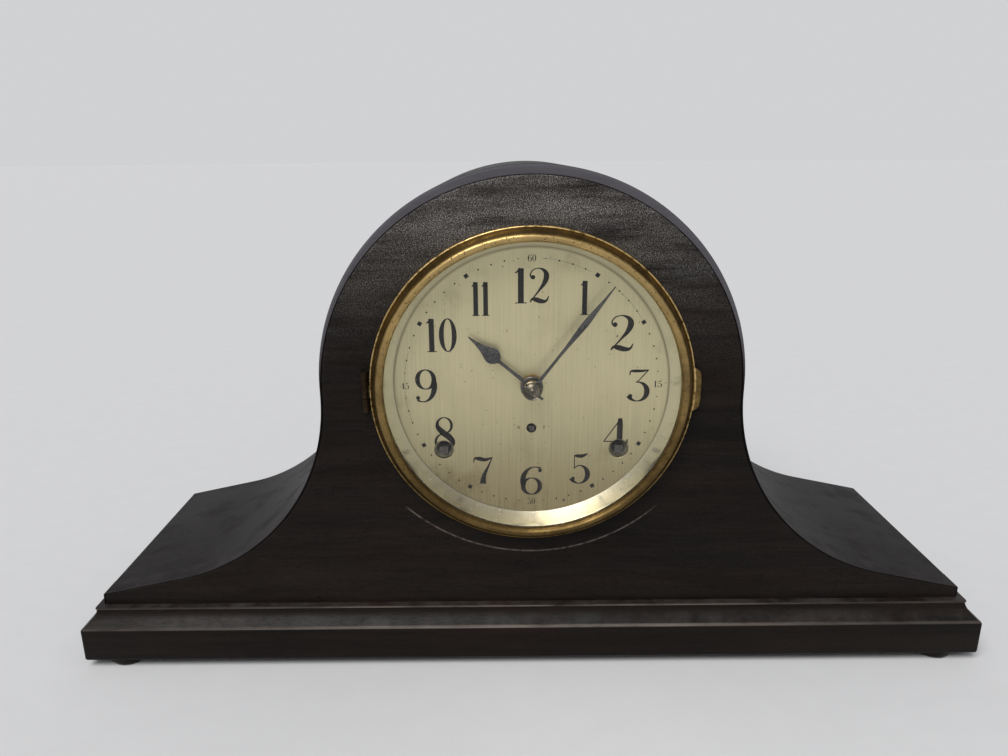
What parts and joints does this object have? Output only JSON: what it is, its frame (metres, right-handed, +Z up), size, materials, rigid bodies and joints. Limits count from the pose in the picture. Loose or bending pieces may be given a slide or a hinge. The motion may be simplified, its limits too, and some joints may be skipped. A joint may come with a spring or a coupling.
{
  "type": "tambour mantel clock",
  "caption": "Tambour mantel clock with a moulded base, a bent wood case, a hinged brass bezel, a silvered dial and a pendulum time and strike movement.",
  "frame": {"origin": "centre of the footprint, on the plane under the feet", "axes": "+X along the base to the right of the dial, +Y to the back, +Z up; the dial faces -Y"},
  "size_m": [0.52, 0.1548, 0.2814],
  "materials": {
    "dark_wood": "stained and polished, worn",
    "plain_wood": "plain stained",
    "aged_brass": "rubbed and spotted",
    "brass": "machined",
    "silvered_dial": "aged silvering",
    "bright_plate": "polished",
    "blued_steel": "dark blued",
    "steel": "plain",
    "cast_iron": "rough black",
    "glass": "clear convex"
  },
  "bodies": {
    "case": {"base_plinth": "dark_wood", "foot_front_left": "dark_wood", "foot_front_right": "dark_wood", "foot_back_left": "dark_wood", "foot_back_right": "dark_wood", "case_skin": "dark_wood", "front_panel": "dark_wood", "back_panel": "dark_wood", "door_hinge_fixed_lower": "brass", "door_hinge_fixed_upper": "brass", "dial_plate": "silvered_dial", "bezel_hinge_fixed": "aged_brass", "front_plate": "brass", "back_plate": "brass", "pillar_lower_left": "steel", "pillar_upper_left": "steel", "movement_foot_lower_left": "steel", "movement_foot_upper_left": "steel", "pillar_lower_right": "steel", "pillar_upper_right": "steel", "movement_foot_lower_right": "steel", "movement_foot_upper_right": "steel", "time_mainspring": "blued_steel", "strike_mainspring": "blued_steel", "suspension_cock": "brass", "gong_coil": "blued_steel", "gong_block": "cast_iron"},
    "back_door": {"back_door": "plain_wood", "door_hinge_moving_lower": "brass", "door_hinge_moving_upper": "brass"},
    "turn_button": {"turn_button": "brass"},
    "bezel": {"bezel_ring": "aged_brass", "bezel_glass": "glass", "sight_ring": "bright_plate", "bezel_hinge_moving": "aged_brass"},
    "centre": {"centre_arbor": "brass", "minute_hand": "blued_steel", "hand_nut": "aged_brass"},
    "hour": {"hour_wheel": "brass", "hour_hand": "blued_steel"},
    "minute_wheel": {"minute_wheel": "brass"},
    "time_great": {"time_great_wheel": "brass"},
    "time_winder": {"time_winding_arbor": "steel"},
    "time_click": {"time_click": "steel"},
    "second": {"second_wheel": "brass"},
    "third": {"third_wheel": "brass"},
    "escape": {"escape_wheel": "brass"},
    "verge": {"verge": "steel"},
    "pendulum": {"pendulum_rod": "steel", "pendulum_bob": "brass"},
    "regulator": {"regulator_arbor": "steel"},
    "strike_great": {"strike_great_wheel": "brass"},
    "strike_winder": {"strike_winding_arbor": "steel"},
    "strike_click": {"strike_click": "steel"},
    "strike_second": {"strike_second_wheel": "brass"},
    "pin_wheel": {"pin_wheel": "brass"},
    "warning": {"warning_wheel": "brass"},
    "fly": {"fly": "brass"},
    "hammer": {"hammer": "steel"}
  },
  "joints": [
    {"name": "bezel_hinge", "type": "hinge", "parent": "case", "child": "bezel", "pos_m": [-0.0895, -0.0663, 0.1641], "axis": [0, 0, -1], "range_deg": [0, 110]},
    {"name": "door_hinge", "type": "hinge", "parent": "case", "child": "back_door", "pos_m": [0.0704, 0.0755, 0.069], "axis": [0, 0, -1], "range_deg": [0, 115]},
    {"name": "turn_button_pivot", "type": "hinge", "parent": "case", "child": "turn_button", "pos_m": [-0.078, 0.0755, 0.0825], "axis": [0, 1, 0], "range_deg": [0, 90]},
    {"name": "centre_turn", "type": "hinge", "parent": "case", "child": "centre", "pos_m": [0, 0, 0.1641], "axis": [0, 1, 0], "continuous": true},
    {"name": "hour_turn", "type": "hinge", "parent": "case", "child": "hour", "pos_m": [0, 0, 0.1641], "axis": [0, 1, 0], "continuous": true},
    {"name": "minute_wheel_turn", "type": "hinge", "parent": "case", "child": "minute_wheel", "pos_m": [-0.0101, 0, 0.1775], "axis": [0, 1, 0], "continuous": true},
    {"name": "time_great_turn", "type": "hinge", "parent": "case", "child": "time_great", "pos_m": [0.049, 0, 0.1265], "axis": [0, 1, 0], "continuous": true},
    {"name": "second_turn", "type": "hinge", "parent": "case", "child": "second", "pos_m": [0.0259, 0, 0.1529], "axis": [0, 1, 0], "continuous": true},
    {"name": "third_turn", "type": "hinge", "parent": "case", "child": "third", "pos_m": [0.0127, 0, 0.1859], "axis": [0, 1, 0], "continuous": true},
    {"name": "escape_turn", "type": "hinge", "parent": "case", "child": "escape", "pos_m": [0, 0, 0.2059], "axis": [0, 1, 0], "continuous": true},
    {"name": "time_winding_turn", "type": "hinge", "parent": "time_great", "child": "time_winder", "pos_m": [0.049, 0, 0.1265], "axis": [0, 1, 0], "continuous": true},
    {"name": "time_click_pivot", "type": "hinge", "parent": "time_great", "child": "time_click", "pos_m": [0.0665, 0, 0.1265], "axis": [0, 1, 0], "range_deg": [0, 12]},
    {"name": "pendulum_swing", "type": "hinge", "parent": "case", "child": "pendulum", "pos_m": [0, 0, 0.2244], "axis": [0, 1, 0], "range_deg": [-3.5, 3.5]},
    {"name": "verge_swing", "type": "hinge", "parent": "case", "child": "verge", "pos_m": [0, 0, 0.2244], "axis": [0, 1, 0], "range_deg": [-3.5, 3.5]},
    {"name": "regulator_turn", "type": "hinge", "parent": "case", "child": "regulator", "pos_m": [0, 0, 0.1391], "axis": [0, 1, 0], "continuous": true},
    {"name": "pin_wheel_turn", "type": "hinge", "parent": "case", "child": "pin_wheel", "pos_m": [-0.0284, 0, 0.1813], "axis": [0, 1, 0], "continuous": true},
    {"name": "strike_second_turn", "type": "hinge", "parent": "case", "child": "strike_second", "pos_m": [-0.04, 0, 0.1597], "axis": [0, 1, 0], "continuous": true},
    {"name": "strike_great_turn", "type": "hinge", "parent": "case", "child": "strike_great", "pos_m": [-0.049, 0, 0.1265], "axis": [0, 1, 0], "continuous": true},
    {"name": "warning_turn", "type": "hinge", "parent": "case", "child": "warning", "pos_m": [-0.0397, 0, 0.1969], "axis": [0, 1, 0], "continuous": true},
    {"name": "fly_turn", "type": "hinge", "parent": "case", "child": "fly", "pos_m": [-0.0285, 0, 0.2078], "axis": [0, 1, 0], "continuous": true},
    {"name": "strike_winding_turn", "type": "hinge", "parent": "strike_great", "child": "strike_winder", "pos_m": [-0.049, 0, 0.1265], "axis": [0, 1, 0], "continuous": true},
    {"name": "strike_click_pivot", "type": "hinge", "parent": "strike_great", "child": "strike_click", "pos_m": [-0.0315, 0, 0.1265], "axis": [0, 1, 0], "range_deg": [0, 12]},
    {"name": "hammer_lift", "type": "hinge", "parent": "case", "child": "hammer", "pos_m": [-0.058, 0, 0.1861], "axis": [0, 1, 0], "range_deg": [0, 10], "stiffness_Nm_per_rad": 0.03, "springref_deg": -5.73}
  ],
  "couplings": [
    {"joint": "hour_turn", "follows": "centre_turn", "ratio": 0.083333},
    {"joint": "minute_wheel_turn", "follows": "centre_turn", "ratio": -0.33333},
    {"joint": "second_turn", "follows": "centre_turn", "ratio": -0.25},
    {"joint": "time_great_turn", "follows": "centre_turn", "ratio": 0.041667},
    {"joint": "third_turn", "follows": "centre_turn", "ratio": -10},
    {"joint": "escape_turn", "follows": "centre_turn", "ratio": 120},
    {"joint": "verge_swing", "follows": "pendulum_swing", "ratio": 1},
    {"joint": "strike_second_turn", "follows": "pin_wheel_turn", "ratio": -0.16667},
    {"joint": "strike_great_turn", "follows": "pin_wheel_turn", "ratio": 0.027778},
    {"joint": "warning_turn", "follows": "pin_wheel_turn", "ratio": -7},
    {"joint": "fly_turn", "follows": "pin_wheel_turn", "ratio": 49}
  ]
}
